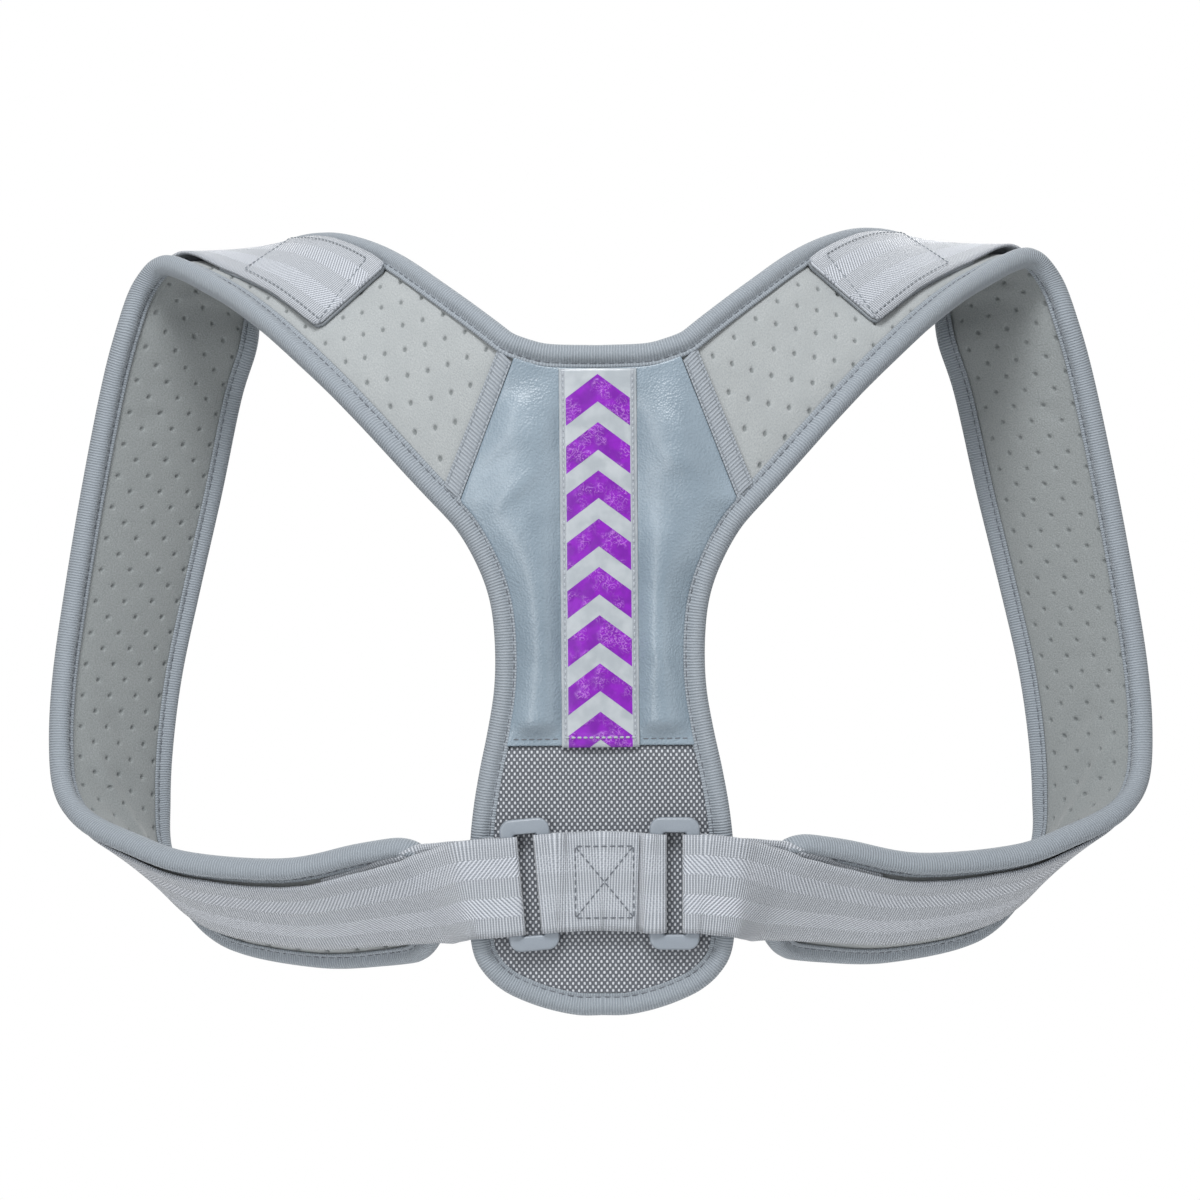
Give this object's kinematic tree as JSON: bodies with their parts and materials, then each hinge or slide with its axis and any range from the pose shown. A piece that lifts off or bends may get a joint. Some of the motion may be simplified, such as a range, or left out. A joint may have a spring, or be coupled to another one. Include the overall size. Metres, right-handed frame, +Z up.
{
  "type": "posture corrector",
  "caption": "Back and shoulder harness with a padded back panel, two twisted padded shoulder bands and webbing that runs through two slotted rings.",
  "frame": {"origin": "middle of the back panel's face that lies on the wearer, at the panel's waist between the shoulder blades", "axes": "+X to the wearer's right as seen from behind, +Y into the wearer's back, +Z up"},
  "size_m": [0.4576, 0.1385, 0.3146],
  "materials": {
    "pad": "brushed perforated fabric over foam",
    "binding": "ribbed grosgrain",
    "leather": "semi-gloss synthetic leather",
    "strip": "coated reflective tape with printed chevrons",
    "mesh": "woven mesh",
    "webbing": "herringbone webbing",
    "ring": "satin moulded",
    "hook": "hook tape"
  },
  "bodies": {
    "root": {"back_pad": "pad", "leather_panel": "leather", "reflective_strip": "strip", "mesh_panel": "mesh", "centre_webbing": "webbing", "seam_tape_left": "binding", "seam_tape_right": "binding", "shoulder_pad_left": "pad", "shoulder_pad_right": "pad", "edge_binding_left": "binding", "edge_binding_right": "binding", "ring_left": "ring", "ring_right": "ring", "strap_webbing_left": "webbing", "strap_webbing_right": "webbing", "hook_tab_left": "hook", "hook_tab_right": "hook"}
  },
  "joints": []
}
